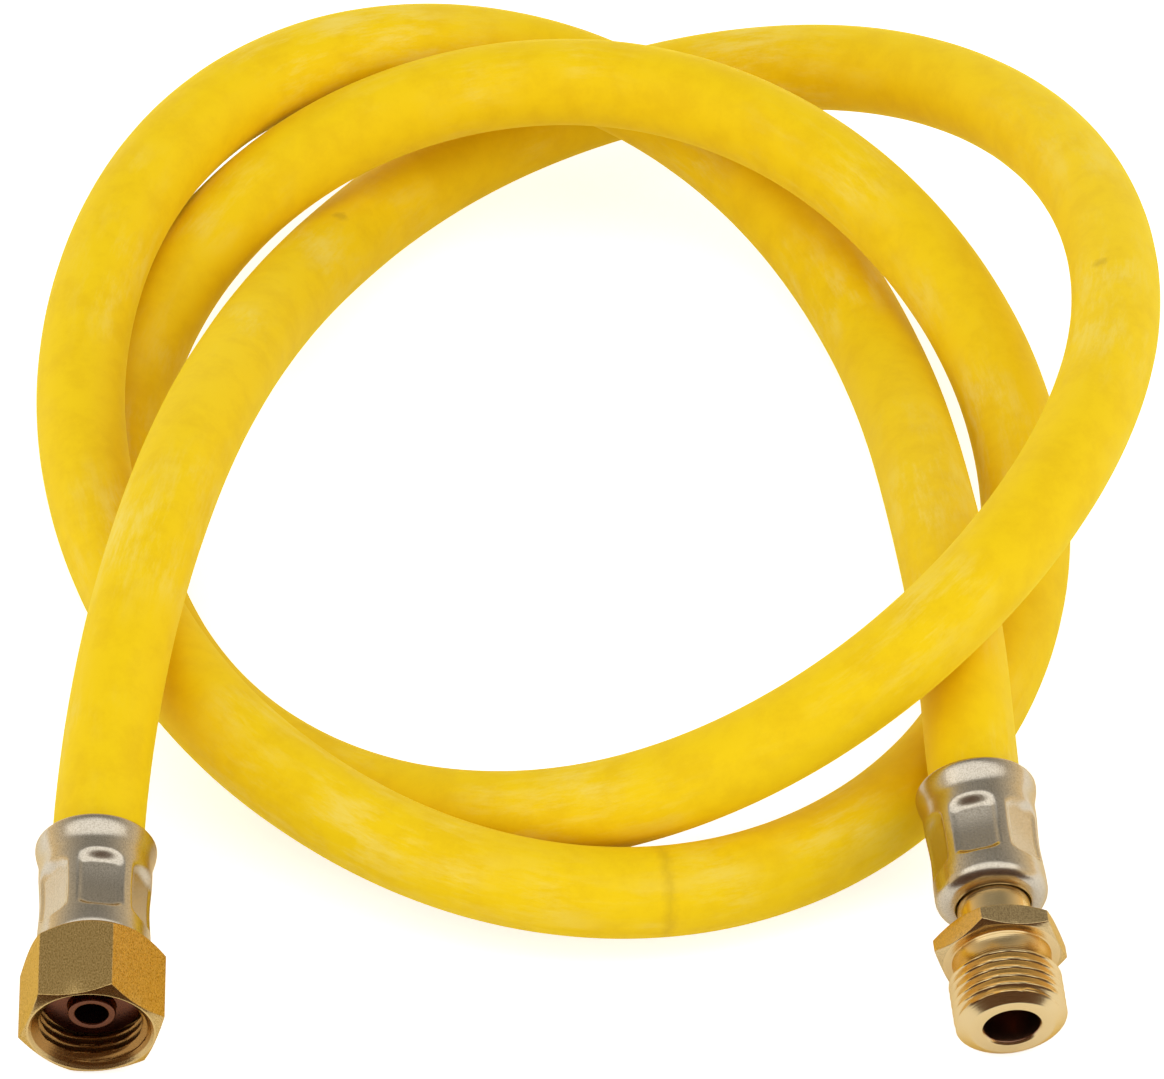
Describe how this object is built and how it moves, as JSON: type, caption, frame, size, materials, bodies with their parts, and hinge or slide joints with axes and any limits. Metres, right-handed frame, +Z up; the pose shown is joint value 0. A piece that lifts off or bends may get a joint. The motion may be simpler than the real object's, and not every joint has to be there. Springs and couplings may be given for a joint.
{
  "type": "flexible gas hose",
  "caption": "Flexible rubber gas hose lying in loose loops, with a swivel nut crimped on one end and a male threaded fitting on the other.",
  "frame": {"origin": "on the floor, under the middle of the box round the two end fittings", "axes": "+Z up, +X from the nut end to the male end; both ends face -Y, towards the viewer, and the loops lie towards +Y"},
  "size_m": [0.2144, 0.302, 0.0639],
  "materials": {
    "hose_rubber": "matte",
    "ferrule_steel": "satin",
    "tail_brass": "turned",
    "nut_brass": "drawn hexagon bar, lightly tarnished",
    "fitting_brass": "turned"
  },
  "bodies": {
    "hose_assembly": {"hose": "hose_rubber", "ferrule_nut_end": "ferrule_steel", "ferrule_male_end": "ferrule_steel", "nut_end_tail": "tail_brass", "male_end_fitting": "fitting_brass"},
    "swivel_nut": {"swivel_nut": "nut_brass"}
  },
  "joints": [
    {"name": "nut_swivel", "type": "hinge", "parent": "hose_assembly", "child": "swivel_nut", "pos_m": [-0.0825, -0.0085, 0.0177], "axis": [0, -0.9685, -0.249], "continuous": true}
  ]
}
